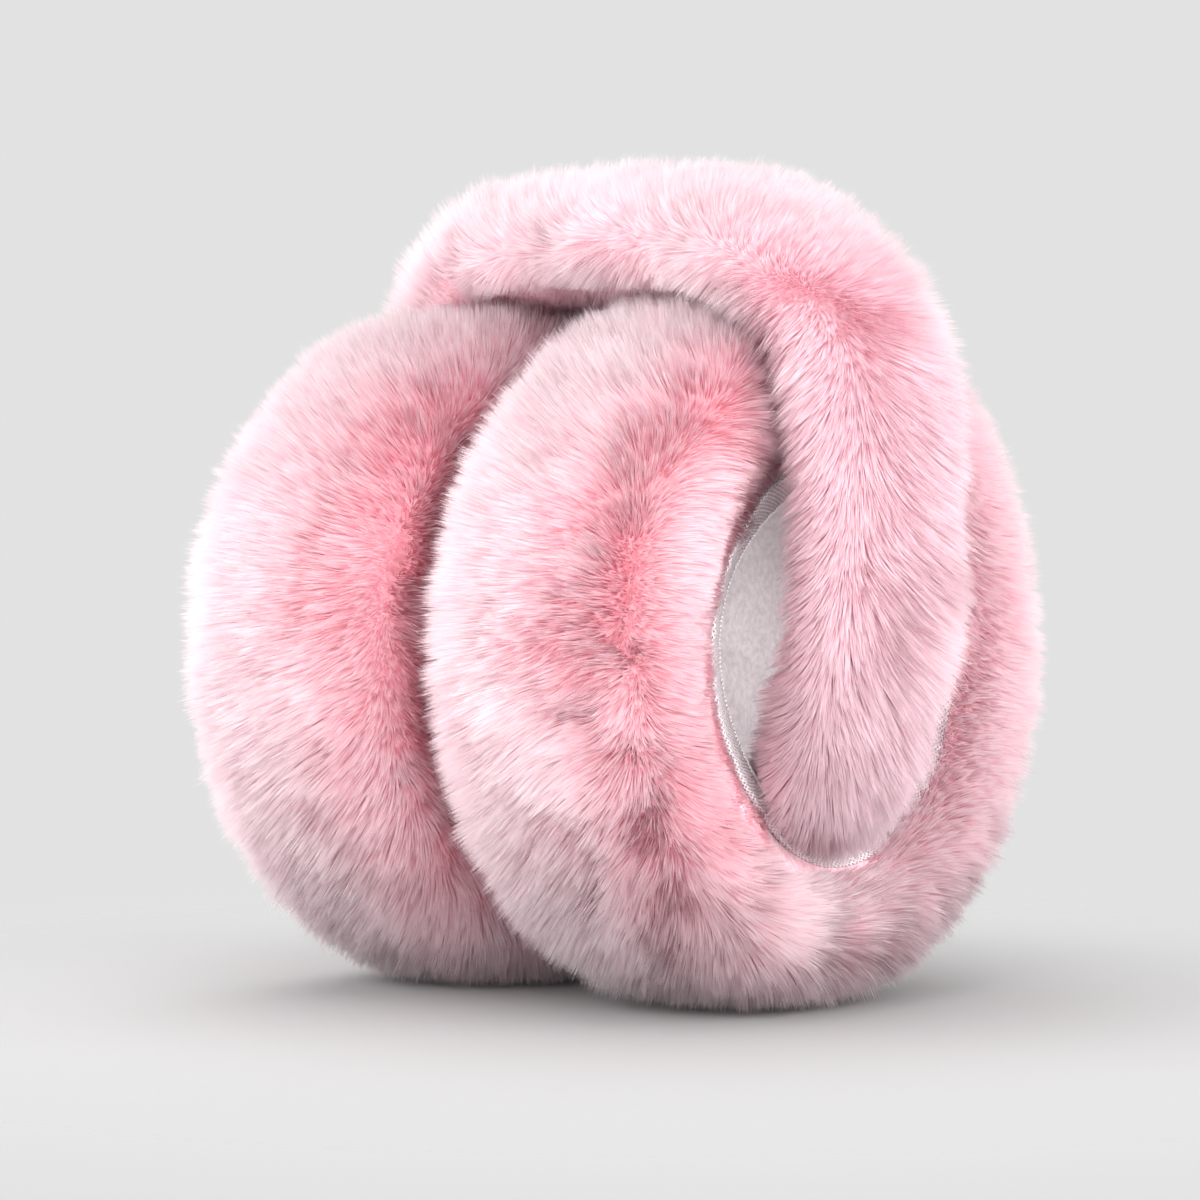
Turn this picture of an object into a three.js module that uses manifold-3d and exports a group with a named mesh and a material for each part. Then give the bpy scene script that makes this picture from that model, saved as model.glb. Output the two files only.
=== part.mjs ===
// Fur earmuffs with two round cups on one padded band, rolled up as they are stored.
// The band rises from the left cup's top, passes over the right cup, comes down in front of
// that cup's ear opening and is sewn in at the opening's lower edge.
// Frame: millimetres, +Z up, both cups stand on z = 0 and both ear openings face +X.

import * as THREE from "three";
import { mergeVertices } from "three/addons/utils/BufferGeometryUtils.js";
import Module from "manifold-3d";

const wasm = await Module();
wasm.setup();

// Cups, measured over the fur
const cup_radius = 64.5;
const cup_thickness = 56.5;
const cup_lock_length = 6.5;
const rim_width = 37; // from the cup's edge in to the middle of its ear opening's edge
const rim_fullness_share = 0.72; // roundness of the rim's section: 0.55 is an ellipse, 1 square
const crown_height = 1.5; // how far the middle of the outer face stands proud of its rim
const cup_gap = 0.8; // between the fur of the two cups
const floor_press = 2.5; // how far the cups' weight presses their fur on the floor

// Ear pocket, in the backing under the fur
const opening_radius = 27.5;
const edge_setback = 15.5; // from the fur's ear side in to the edge of the backing
const back_wall = 8; // padding behind the pocket
const pocket_undercut = 4; // how much wider the pocket is than its edge
const pocket_corner = 11; // round between the pocket's wall and its back
const lining_thickness = 1.6;
const wall_shares = [0.1, 0.25, 0.4, 0.54, 0.68]; // rings down the pocket's half section

// Elastic tape, folded over the edge of the ear opening
const tape_thickness = 1;
const tape_overhang = 3; // how far its fold stands in past the backing's edge
const tape_inner_leaf = 8.5; // how deep it reaches into the pocket
const tape_seat_share = 0.945; // where its outer edge lies on the fur side's half section
const tape_wave = 0.7; // how far its fold wanders in and out

// Band, measured over the fur
const band_width = 41;
const band_thickness = 23;
const band_lock_length = 5.5;
const band_clearance = 1.2; // kept between the band and the tips of the cups' fur

// Gaps between pieces that lie against each other
const seam_gap = 0.3;
const cut_gap = 0.42; // of the band's cut ends, measured at the corners of the other piece
const thin_cut_gap = 0.62; // of the same cut at a thin rim, where corners stand close together

// Fur locks, as shares of a lock's height unless noted
const lock_pitch = 6.9; // size of one lock at its root, millimetres
const lock_stray_share = 0.22; // of its root's corners, as a share of the root
const cup_lean_share = 0.8; // of the tip along the comb
const band_lean_share = 0.9;
const lean_scatter_share = 0.25;
const height_scatter_share = 0.08;
const droop_share = 0.5; // how far the comb sinks, as a share of its way over the rim
const part_line_share = 0.62; // share of the half section past which fur leans to the ear opening
const lock_fade_share = { from: 0.86, to: 0.95 }; // shares over which locks shorten into the tape
const band_fade_share = { from: 0.76, to: 0.94 }; // and along the band, into its sewn lower end
const furred_turn_share = 0.3; // of a turn each way from the band's crown; its underside is bare

// Fineness
const cup_columns = 44;
const band_columns = 12;

// Ear opening round the clock: turn in degrees from the top towards +Y, and reach as a
// share of opening_radius.
const opening_shape = [
  { turn: 0, reach: 1.02 },
  { turn: 45, reach: 1.06 },
  { turn: 90, reach: 1.08 },
  { turn: 135, reach: 1.16 },
  { turn: 180, reach: 1.18 },
  { turn: 225, reach: 1.02 },
  { turn: 270, reach: 1.06 },
  { turn: 315, reach: 1.0 },
];

// Route of the band's underside, from the right cup's centre: along is a share of the
// distance between the cups, aside of the band's width and up of the cups' radius. Wide
// and thick are shares of the band's own sizes there.
const band_route = [
  { along: -0.96, aside: 0.0, up: 0.7, wide: 1.0, thick: 0.95 },
  { along: -0.97, aside: 0.0, up: 0.84, wide: 1.0, thick: 0.95 },
  { along: -0.9, aside: 0.0, up: 0.93, wide: 1.0, thick: 1.0 },
  { along: -0.72, aside: -0.03, up: 0.955, wide: 1.0, thick: 1.0 },
  { along: -0.35, aside: -0.08, up: 0.955, wide: 1.0, thick: 1.0 },
  { along: 0.08, aside: -0.17, up: 0.92, wide: 1.0, thick: 1.0 },
  { along: 0.38, aside: -0.25, up: 0.75, wide: 1.0, thick: 0.95 },
  { along: 0.475, aside: -0.27, up: 0.48, wide: 1.0, thick: 0.85 },
  { along: 0.475, aside: -0.27, up: 0.2, wide: 1.0, thick: 0.85 },
  { along: 0.42, aside: -0.24, up: -0.03, wide: 0.97, thick: 0.85 },
  { along: 0.33, aside: -0.19, up: -0.2, wide: 0.9, thick: 0.85 },
  { along: 0.21, aside: -0.13, up: -0.31, wide: 0.8, thick: 0.85 },
  { along: 0.07, aside: -0.08, up: -0.37, wide: 0.7, thick: 0.85 },
];

const full_turn = 2 * Math.PI;
const cup_spacing = cup_thickness + cup_gap;
const cup_height = cup_radius - floor_press; // of the cups' axes over the floor
const rim_middle = cup_radius - rim_width / 2;
const backing_radius = cup_radius - cup_lock_length;
const backing_half = cup_thickness / 2 - cup_lock_length;
const edge_x = cup_thickness / 2 - edge_setback;
const pocket_back_x = back_wall - backing_half;
const band_half_width = band_width / 2 - band_lock_length;
const band_half_thickness = (band_thickness - band_lock_length) / 2;

const smoothstep = THREE.MathUtils.smoothstep;
const mix = THREE.MathUtils.lerp;

// Repeatable scatter between -1 and 1.
function scatter(i, j, salt) {
  const wave = Math.sin(i * 127.1 + j * 311.7 + salt * 74.7) * 43758.5453;
  return (wave - Math.floor(wave)) * 2 - 1;
}

// Radius of the ear opening at a turn, smoothed between the table's rows.
const opening_curve = new THREE.CatmullRomCurve3(
  opening_shape.map((row) => new THREE.Vector3(row.reach, row.turn / 360, 0)),
  true,
  "catmullrom",
);
const openingRadius = (turn) => opening_radius * opening_curve.getPoint(turn / full_turn).x;
const edgeRadius = (turn) => openingRadius(turn) + tape_overhang;

// Half section of the backing's fur side: x along the cup's axis, y out from the axis. It
// runs from the middle of the outer face round the rim to the edge of the ear opening.
function furPath(turn) {
  const path = new THREE.Path();
  const bulge = backing_radius - rim_middle;
  const lip = rim_middle - edgeRadius(turn);
  const crown = -backing_half - crown_height;
  path.moveTo(crown, 0);
  path.quadraticCurveTo(crown, rim_middle / 2, -backing_half, rim_middle);
  const full = { along: rim_fullness_share * backing_half, out: rim_middle + rim_fullness_share * bulge };
  const brim = rim_middle + bulge;
  path.bezierCurveTo(-backing_half, full.out, -full.along, brim, 0, brim);
  path.bezierCurveTo(full.along, brim, backing_half, full.out, backing_half, rim_middle);
  path.absellipse(edge_x, rim_middle, backing_half - edge_x, lip, 0, -Math.PI / 2, true);
  return path;
}

// Half section of the pocket's wall, from the opening's edge to the middle of its back.
function pocketPath(turn) {
  const path = new THREE.Path();
  const edge = edgeRadius(turn);
  const wall = edge + pocket_undercut;
  const corner_x = pocket_back_x + pocket_corner;
  path.moveTo(edge_x, edge);
  const down = corner_x + pocket_undercut;
  path.bezierCurveTo(edge_x - pocket_undercut, edge, down, wall, corner_x, wall);
  path.absellipse(
    corner_x, wall - pocket_corner, pocket_corner, pocket_corner, Math.PI / 2, Math.PI, false,
  );
  path.lineTo(pocket_back_x, 0);
  return path;
}

// One path for each column round a cup, made once.
const columnTurn = (column) => (column / cup_columns) * full_turn;
const columns = Array.from({ length: cup_columns }, (_, j) => columnTurn(j));
const fur_paths = columns.map(furPath);
const pocket_paths = columns.map(pocketPath);

// A point of a half section, turned to its place round the cup's axis.
function turned(flat, turn) {
  return new THREE.Vector3(flat.x, flat.y * Math.sin(turn), flat.y * Math.cos(turn));
}

// The way out of the solid at a point of a half section.
function outOf(path, share) {
  const way = path.getTangent(share);
  return new THREE.Vector2(-way.y, way.x);
}

// Rings of points joined into one closed surface. Faces point out where each ring runs
// by the right-hand rule about the way from ring to ring.
class Skin {
  constructor() {
    this.points = [];
    this.faces = [];
  }

  add(point) {
    return this.points.push(point) - 1;
  }

  ring(count, place) {
    return Array.from({ length: count }, (_, j) => this.add(place(j)));
  }

  quads(low, high) {
    low.forEach((corner, j) => {
      const next = (j + 1) % low.length;
      this.faces.push(corner, high[j], high[next], corner, high[next], low[next]);
    });
  }

  // Faces from an outline to one point.
  fan(outline, tip) {
    const middle = this.add(tip);
    outline.forEach((corner, k) => {
      this.faces.push(corner, outline[(k + 1) % outline.length], middle);
    });
  }

  // The outline of cell j between two rings, one of which may have twice the points.
  outline(low, high, j) {
    const cells = Math.min(low.length, high.length);
    const side = (ring) => {
      const steps = ring.length / cells;
      return Array.from({ length: steps + 1 }, (_, k) => ring[(j * steps + k) % ring.length]);
    };
    const [first, ...rest] = side(low);
    return [first, ...side(high), ...rest.reverse()];
  }

  centre(outline) {
    const sum = outline.reduce((total, k) => total.add(this.points[k]), new THREE.Vector3());
    return sum.divideScalar(outline.length);
  }

  normal(outline, centre) {
    const sum = new THREE.Vector3();
    outline.forEach((corner, k) => {
      const from = this.points[corner].clone().sub(centre);
      const to = this.points[outline[(k + 1) % outline.length]].clone().sub(centre);
      sum.add(from.cross(to));
    });
    return sum.normalize();
  }

  geometry() {
    return new THREE.BufferGeometry().setFromPoints(this.points).setIndex(this.faces);
  }
}

// The band's underside, and its frames: origin on the backing's middle line, forward along
// the band, outward to its fur side and aside across it.
const band_line = new THREE.CatmullRomCurve3(
  band_route.map(
    (row) => new THREE.Vector3(row.along * cup_spacing, row.aside * band_width, row.up * cup_radius),
  ),
  false,
  "centripetal",
);
const band_steps = Math.round(band_line.getLength() / lock_pitch);

function bandFrame(share) {
  const place = band_line.getUtoTmapping(share) * (band_route.length - 1);
  const row = Math.min(Math.floor(place), band_route.length - 2);
  const between = (column) => mix(band_route[row][column], band_route[row + 1][column], place - row);
  const forward = band_line.getTangentAt(share);
  const outward = forward.clone().cross(new THREE.Vector3(0, 1, 0)).normalize();
  const aside = outward.clone().cross(forward).normalize();
  const half_width = band_half_width * between("wide");
  const half_thickness = band_half_thickness * between("thick");
  const origin = band_line.getPointAt(share).addScaledVector(outward, half_thickness);
  return { origin, forward, outward, aside, half_width, half_thickness };
}
const band_frames = Array.from({ length: 2 * band_steps + 1 }, (_, k) =>
  bandFrame(k / (2 * band_steps)),
);

// Whether a point lies in the room that the band and its fur take.
function inBand(point) {
  const away = (frame) => frame.origin.distanceToSquared(point);
  const near = band_frames.reduce((best, frame) => (away(frame) < away(best) ? frame : best));
  const from = point.clone().sub(near.origin);
  const up = from.dot(near.outward);
  const fur_up = up > 0 ? band_lock_length : 0;
  return (
    Math.abs(from.dot(near.aside)) < near.half_width + band_lock_length + band_clearance &&
    Math.abs(up) < near.half_thickness + fur_up + band_clearance &&
    Math.abs(from.dot(near.forward)) < lock_pitch
  );
}

// A cup's backing with a fur lock on each of its cells. The locks lean out over the rim and
// down. They stop short of the band, the floor and the cup's two faces. With fur 0 it is the
// bare backing, which the band's ends are cut by.
function cupGeometry(centre_x, fur) {
  const skin = new Skin();
  const rows = Math.round(fur_paths[0].getLength() / lock_pitch);
  const half = cup_thickness / 2;
  const floor = -cup_height;

  const settle = (point) => {
    point.x = THREE.MathUtils.clamp(point.x, -half, half);
    point.z = Math.max(point.z, floor);
    return point;
  };

  // Where the floor presses, the backing is let out to the fur's outline and lies flat.
  function backingPoint(row, column, ring_columns) {
    const loose = row > 1 && row < rows - 2 ? lock_stray_share : 0;
    const step = cup_columns / ring_columns;
    const turn = columnTurn((column + loose * scatter(row, column, 1)) * step);
    const share = (row + loose * scatter(row, column, 2)) / rows;
    const path = fur_paths[column * step];
    const point = turned(path.getPoint(share), turn);
    const out = turned(outOf(path, share), turn);
    const fur_z = point.z + out.z * cup_lock_length;
    const pressed = 1 - smoothstep(fur_z, floor, floor + floor_press);
    return settle(point.addScaledVector(out, cup_lock_length * pressed));
  }

  function lockTip(outline, row, column) {
    const root = skin.centre(outline);
    const out = skin.normal(outline, root);
    const share = (row + 0.5) / rows;
    const comb = new THREE.Vector3(0, root.y, root.z).setLength(share < part_line_share ? 1 : -1);
    comb.z -= droop_share;
    comb.addScaledVector(out, -comb.dot(out));
    const kept = 1 - smoothstep(share, lock_fade_share.from, lock_fade_share.to);
    const height = fur * cup_lock_length * kept * (1 + height_scatter_share * (scatter(row, column, 3) - 1));
    const lean = height * (cup_lean_share + lean_scatter_share * scatter(row, column, 4));
    const covered = (point) => inBand(point.clone().setX(point.x + centre_x));
    if (root.z < floor + seam_gap || covered(root)) return root;
    const heights = [1, 0.8, 0.6, 0.45, 0.3, 0.2, 0.1];
    const tips = heights.map((share_left) => {
      const tip = root.clone().addScaledVector(out, height * share_left);
      return settle(tip.addScaledVector(comb, lean * share_left));
    });
    return tips.find((tip) => !covered(tip)) ?? root;
  }

  const columnsOf = (row) => {
    if (row === 1) return cup_columns / 4;
    return row < 4 ? cup_columns / 2 : cup_columns;
  };
  const crown_x = -backing_half - crown_height;
  const rings = Array.from({ length: rows }, (_, k) => {
    const count = columnsOf(k + 1);
    return skin.ring(count, (j) => backingPoint(k + 1, j, count));
  });
  skin.fan(rings[0], new THREE.Vector3(mix(crown_x, -half, fur), 0, 0));
  for (let k = 0; k + 1 < rows; k++) {
    const cells = Math.min(rings[k].length, rings[k + 1].length);
    for (let j = 0; j < cells; j++) {
      const outline = skin.outline(rings[k], rings[k + 1], j);
      skin.fan(outline, lockTip(outline, k + 1, j));
    }
  }
  const wall = wall_shares.map((share) => pocketRing(skin, share, 0));
  [rings.at(-1), ...wall].reduce((low, high) => {
    skin.quads(low, high);
    return high;
  });
  skin.fan(wall.at(-1).slice().reverse(), new THREE.Vector3(pocket_back_x, 0, 0));
  return skin.geometry();
}

// A ring of points on the pocket's wall, standing inset off it.
function pocketRing(skin, share, inset) {
  return skin.ring(cup_columns, (j) => {
    const path = pocket_paths[j];
    const flat = path.getPoint(share).addScaledVector(outOf(path, share), inset);
    return turned(flat, columnTurn(j));
  });
}

// Fleece bowl that lines the pocket from the first of its rings.
function liningGeometry() {
  const skin = new Skin();
  const outer = wall_shares.map((share) => pocketRing(skin, share, seam_gap)).reverse();
  const inner = wall_shares.map((share) => pocketRing(skin, share, seam_gap + lining_thickness));
  skin.fan(outer[0], new THREE.Vector3(pocket_back_x + seam_gap, 0, 0));
  [...outer, ...inner].reduce((low, high) => {
    skin.quads(low, high);
    return high;
  });
  const middle = new THREE.Vector3(pocket_back_x + seam_gap + lining_thickness, 0, 0);
  skin.fan(inner.at(-1).slice().reverse(), middle);
  return skin.geometry();
}

// Half section of the tape's middle line: one leaf lies on the fur side of the edge, it folds
// over at the edge, and the other leaf reaches into the pocket.
function tapeLine(column) {
  const turn = columnTurn(column);
  const path = fur_paths[column];
  const seat = path.getPoint(tape_seat_share);
  seat.addScaledVector(outOf(path, tape_seat_share), seam_gap + tape_thickness / 2);
  const wander = tape_wave * Math.sin(3 * turn + 1) * Math.cos(2 * turn);
  const fold = new THREE.Vector2(edge_x + tape_overhang, openingRadius(turn) + wander);
  const inner = new THREE.Vector2(edge_x - tape_inner_leaf, fold.y + tape_thickness);
  return [seat, fold, inner];
}

// The same line moved half the tape's thickness to its seen side, 1, or its hidden side, -1.
function tapeSide(column, side) {
  const line = tapeLine(column);
  const leaves = [line[1].clone().sub(line[0]), line[2].clone().sub(line[1])];
  const offs = leaves.map((way) => new THREE.Vector2(-way.y, way.x).normalize());
  const at_fold = offs[0].clone().add(offs[1]).normalize();
  at_fold.divideScalar(at_fold.dot(offs[0]));
  const moves = [offs[0], at_fold, offs[1]];
  return line.map((point, k) => point.addScaledVector(moves[k], (side * tape_thickness) / 2));
}

// A closed ring round the cup's axis, from the corners of its section in each column.
function collarGeometry(cornersOf) {
  const skin = new Skin();
  const sections = columns.map((_, j) => cornersOf(j));
  const rings = sections[0].map((_, k) =>
    skin.ring(cup_columns, (j) => turned(sections[j][k], columnTurn(j))),
  );
  rings.forEach((low, k) => skin.quads(low, rings[(k + 1) % rings.length]));
  return skin.geometry();
}

function tapeGeometry() {
  return collarGeometry((j) => [...tapeSide(j, 1), ...tapeSide(j, -1).reverse()]);
}

// The room that the tape closes off, from its seen side back into the padding.
function behindTapeGeometry() {
  return collarGeometry((j) => {
    const padding = edgeRadius(columnTurn(j)) + 2 * pocket_undercut;
    return [...tapeSide(j, 1), new THREE.Vector2(edge_x - tape_inner_leaf, padding)];
  });
}

// The band's padded backing with locks on its outer side and flanks, whole, before its two
// ends are cut to the cups.
function bandGeometry() {
  const skin = new Skin();
  const fromCrown = (j) => Math.min(j + 0.5, band_columns - j - 0.5) / band_columns;
  const frames = band_frames.filter((_, k) => k % 2 === 0);
  const rings = frames.map((frame, k) =>
    skin.ring(band_columns, (j) => {
      const angle = ((j + (lock_stray_share / 2) * scatter(k, j, 5)) / band_columns) * full_turn;
      return frame.origin
        .clone()
        .addScaledVector(frame.aside, frame.half_width * Math.sin(angle))
        .addScaledVector(frame.outward, frame.half_thickness * Math.cos(angle));
    }),
  );
  skin.fan(rings[0], frames[0].origin);
  for (let k = 0; k + 1 < rings.length; k++) {
    for (let j = 0; j < band_columns; j++) {
      const outline = skin.outline(rings[k], rings[k + 1], j);
      const root = skin.centre(outline);
      const sewn = smoothstep((k + 0.5) / band_steps, band_fade_share.from, band_fade_share.to);
      const kept = fromCrown(j) < furred_turn_share ? 1 - sewn : 0;
      const height = band_lock_length * kept * (1 + height_scatter_share * (scatter(k, j, 6) - 1));
      const lean = height * (band_lean_share + lean_scatter_share * scatter(k, j, 7));
      const out = skin.normal(outline, root);
      const tip = root.clone().addScaledVector(out, height);
      skin.fan(outline, tip.addScaledVector(frames[k].forward, lean));
    }
  }
  skin.fan(rings.at(-1).slice().reverse(), frames.at(-1).origin);
  return skin.geometry();
}

// A geometry's corners moved out by a distance, along the mean of the faces round each.
function grown(geometry, distance) {
  const made = geometry.clone();
  made.computeVertexNormals();
  const { position, normal } = made.attributes;
  for (let k = 0; k < position.count; k++) {
    const point = new THREE.Vector3().fromBufferAttribute(position, k);
    point.addScaledVector(new THREE.Vector3().fromBufferAttribute(normal, k), distance);
    position.setXYZ(k, point.x, point.y, point.z);
  }
  return made;
}

function solidOf(geometry) {
  const plain = new THREE.BufferGeometry();
  plain.setAttribute("position", geometry.attributes.position);
  plain.setIndex(geometry.index);
  const merged = mergeVertices(plain, 1e-4);
  return new wasm.Manifold(
    new wasm.Mesh({
      numProp: 3,
      vertProperties: new Float32Array(merged.attributes.position.array),
      triVerts: new Uint32Array(merged.index.array),
    }),
  );
}

function geometryOf(solid) {
  const mesh = solid.getMesh();
  const made = new THREE.BufferGeometry();
  made.setAttribute("position", new THREE.BufferAttribute(mesh.vertProperties, 3));
  made.setIndex(new THREE.BufferAttribute(mesh.triVerts, 1));
  return made;
}

// The band with its ends cut back to what they are sewn to.
function fittedBand(left_x) {
  const cutters = [
    grown(cupGeometry(left_x, 0).translate(left_x, 0, 0), cut_gap),
    grown(cupGeometry(0, 0), cut_gap),
    grown(behindTapeGeometry(), cut_gap),
    grown(liningGeometry(), thin_cut_gap),
  ];
  const cut = cutters.reduce(
    (band, cutter) => band.subtract(solidOf(cutter)),
    solidOf(bandGeometry()),
  );
  const largest = cut.decompose().reduce((a, b) => (a.volume() > b.volume() ? a : b));
  return geometryOf(largest);
}

const fur_pink = new THREE.MeshStandardMaterial({ color: 0xf3c0cb, roughness: 0.95 });
const fleece_white = new THREE.MeshStandardMaterial({ color: 0xe6dfe0, roughness: 1 });
const tape_white = new THREE.MeshStandardMaterial({ color: 0xe3dcdf, roughness: 0.8 });

function piece(name, geometry, material, x) {
  const made = new THREE.Mesh(geometry, material);
  made.name = name;
  made.position.x = x;
  return made;
}

function cup(side, x) {
  const group = new THREE.Group();
  group.add(
    piece(`${side}_cup_fur`, cupGeometry(x, 1), fur_pink, x),
    piece(`${side}_cup_lining`, liningGeometry(), fleece_white, x),
    piece(`${side}_edge_tape`, tapeGeometry(), tape_white, x),
  );
  return group;
}

const earmuffs = new THREE.Group();
earmuffs.add(cup("left", -cup_spacing), cup("right", 0));
earmuffs.add(piece("band_fur", fittedBand(-cup_spacing), fur_pink, 0));

// The origin is under the middle of the whole, on the floor.
const extent = new THREE.Box3().setFromObject(earmuffs);
const middle = extent.getCenter(new THREE.Vector3());
earmuffs.position.set(-middle.x, -middle.y, cup_height);

export default earmuffs;
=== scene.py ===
"""Pink fur earmuffs, rolled up for storage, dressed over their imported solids.

Two round cups stand side by side with their ear openings facing +X. The padded band starts on
the left cup, passes over the right one and comes down in front of its opening. Every size is
in metres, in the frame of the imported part.
"""

import math

import bpy
import numpy as np
from bpy.props import FloatProperty, FloatVectorProperty, IntProperty, PointerProperty
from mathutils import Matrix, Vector


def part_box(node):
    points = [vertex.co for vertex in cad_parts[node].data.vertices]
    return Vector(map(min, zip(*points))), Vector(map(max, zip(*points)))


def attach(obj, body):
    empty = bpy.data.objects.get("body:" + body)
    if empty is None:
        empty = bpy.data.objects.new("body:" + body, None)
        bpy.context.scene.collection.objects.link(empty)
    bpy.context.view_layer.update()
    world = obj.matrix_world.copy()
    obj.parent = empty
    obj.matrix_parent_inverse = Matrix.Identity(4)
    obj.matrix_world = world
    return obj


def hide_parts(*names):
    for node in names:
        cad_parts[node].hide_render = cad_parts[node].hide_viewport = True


bl_info = {
    "name": "Fur Earmuffs",
    "version": (1, 0, 0),
    "blender": (4, 5, 0),
    "location": "3D View > Sidebar > Earmuffs",
    "description": "Builds rolled-up fur earmuffs: padded cups, pile, linings, tapes and band",
    "category": "Object",
}

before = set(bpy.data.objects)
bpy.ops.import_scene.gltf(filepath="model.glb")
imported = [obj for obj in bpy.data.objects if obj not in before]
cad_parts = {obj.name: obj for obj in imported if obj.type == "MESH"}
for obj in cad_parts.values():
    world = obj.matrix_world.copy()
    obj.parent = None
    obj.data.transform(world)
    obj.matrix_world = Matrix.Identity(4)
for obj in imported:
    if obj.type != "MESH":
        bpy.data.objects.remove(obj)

CUPS = {"left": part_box("left_cup_fur"), "right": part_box("right_cup_fur")}
FLOOR_PRESS = 0.0025
RIM_FULLNESS = 0.72
CROWN_HEIGHT = 0.0015
TAPE_SEAT = 0.945
FULL_TURN = 2 * math.pi

# Where along the fur line, as a share, a cup's pile parts and is combed both ways.
PART_LINE = {"left": 0.88, "right": 0.7}
# Where along the fur line a cup's pile gets its painted shade, deepest in colour, as where one looks down
# into the pile.
PILE_SHADE_LINE = 0.735
# How strongly strands close up into tufts on the cups, and bend with the comb.
CUP_PULL = 0.3
CUP_BOW = 0.75
BAND_BOW = 0.9
# How far every strand may reach past its own cup towards the other one.
MINGLE = 0.0004
BAND_FRAMES = 241
KNIT_PITCH = 0.00056
THREAD_RADIUS = 0.00019
# A strand's three corners in its own cell of the map.
STRAND_CELL = np.array([(0.08, 0.08), (0.92, 0.08), (0.5, 0.92)])

# Reach of the ear opening at eight even turns from the top, as a share of its radius.
OPENING_REACH = np.array([1.02, 1.06, 1.08, 1.16, 1.18, 1.02, 1.06, 1.0])

# The band's underside from the right cup's middle: along as a share of the way between the
# cups, aside of the band's width, up of the cups' radius, then its width and thickness.
BAND_ROUTE = np.array([
    (-0.96, 0.0, 0.7, 1.0, 0.95),
    (-0.97, 0.0, 0.84, 1.0, 0.95),
    (-0.9, 0.0, 0.93, 1.0, 1.0),
    (-0.72, -0.03, 0.955, 1.0, 1.0),
    (-0.35, -0.08, 0.955, 1.0, 1.0),
    (0.08, -0.17, 0.92, 1.0, 1.0),
    (0.38, -0.25, 0.75, 1.0, 0.95),
    (0.475, -0.27, 0.48, 1.0, 0.85),
    (0.475, -0.27, 0.2, 1.0, 0.85),
    (0.42, -0.24, -0.03, 0.97, 0.85),
    (0.33, -0.19, -0.2, 0.9, 0.85),
    (0.21, -0.13, -0.31, 0.8, 0.85),
    (0.07, -0.08, -0.37, 0.7, 0.85),
])


def colour(text):
    """A colour written as sRGB hex, turned into linear red, green, blue and alpha."""
    parts = np.array([int(text[k:k + 2], 16) / 255 for k in (1, 3, 5)])
    linear = np.where(parts <= 0.04045, parts / 12.92, ((parts + 0.055) / 1.055) ** 2.4)
    return (*linear.tolist(), 1.0)


def length(name, description, default):
    """A length that the user can change, in metres."""
    return FloatProperty(
        name=name, description=description, default=default, min=0.0, precision=5, unit="LENGTH"
    )


def tint(name, description, default):
    """A colour that the user can change, given as sRGB hex."""
    return FloatVectorProperty(
        name=name, description=description, default=colour(default),
        size=4, min=0.0, max=1.0, subtype="COLOR",
    )


class EarmuffSizes(bpy.types.PropertyGroup):
    """Sizes of the cups, the band and their edges."""

    cup_radius: length("Cup Radius", "From a cup's axis to the tips of its fur", 0.0645)
    cup_thickness: length("Cup Thickness", "Along a cup's axis, over its fur", 0.0565)
    cup_fur: length("Cup Fur Depth", "From a cup's backing to the tips of its fur", 0.0065)
    rim_width: length("Rim Width", "From a cup's edge in to its opening's edge", 0.037)
    opening_radius: length("Opening Radius", "Mean radius of the ear opening", 0.0275)
    edge_setback: length("Edge Setback", "From the ear side in to the opening's edge", 0.0155)
    back_wall: length("Back Wall", "Padding behind the ear pocket", 0.008)
    undercut: length("Undercut", "How much wider the pocket is than its edge", 0.004)
    corner: length("Pocket Corner", "Round between the pocket's wall and its back", 0.011)
    lining: length("Lining Thickness", "Thickness of the fleece", 0.0016)
    tape: length("Tape Thickness", "Thickness of the folded tape", 0.001)
    tape_overhang: length("Tape Overhang", "How far the tape's fold stands in", 0.003)
    tape_leaf: length("Tape Inner Leaf", "How deep the tape reaches into the pocket", 0.0085)
    stitch_pitch: length("Stitch Pitch", "Between two stitches of the tape's edge", 0.00076)
    band_width: length("Band Width", "Across the band, over its fur", 0.041)
    band_thickness: length("Band Thickness", "Through the band, over its fur", 0.023)
    band_fur: length("Band Fur Depth", "From the band's backing to its fur's tips", 0.0055)


class EarmuffPile(bpy.types.PropertyGroup):
    """Make and colours of the fur."""

    cup_strands: IntProperty(
        name="Cup Strands", description="Fur strands on each cup", default=325000, min=1000
    )
    band_strands: IntProperty(
        name="Band Strands", description="Fur strands on the band", default=190000, min=1000
    )
    strand_width: length("Strand Width", "Across the widest place of a strand", 0.00021)
    cup_strand: length("Cup Strand", "Length of the cups' strands", 0.0075)
    band_strand: length("Band Strand", "Length of the strands on the band's top", 0.0074)
    tuft_strand: length("Tuft Strand", "Length of the shaggy strands on its lower run", 0.0094)
    wisp_pitch: length("Wisp Pitch", "Between small wisps of strands", 0.0018)
    tuft_pitch: length("Tuft Pitch", "Between tufts of strands", 0.0052)
    root: tint("Root", "Depth of the pile", "#F1ADBA")
    middle: tint("Middle", "Body of the pile", "#FCDCE3")
    tip: tint("Tip", "Tips of the pile", "#FFF3F6")
    cool_root: tint("Cool Root", "Depth of the pile on the lower run", "#E2ACBA")
    cool_middle: tint("Cool Middle", "Body of the pile on the lower run", "#ECC6D0")
    cool_tip: tint("Cool Tip", "Tips of the pile on the lower run", "#F7E2E8")


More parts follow.
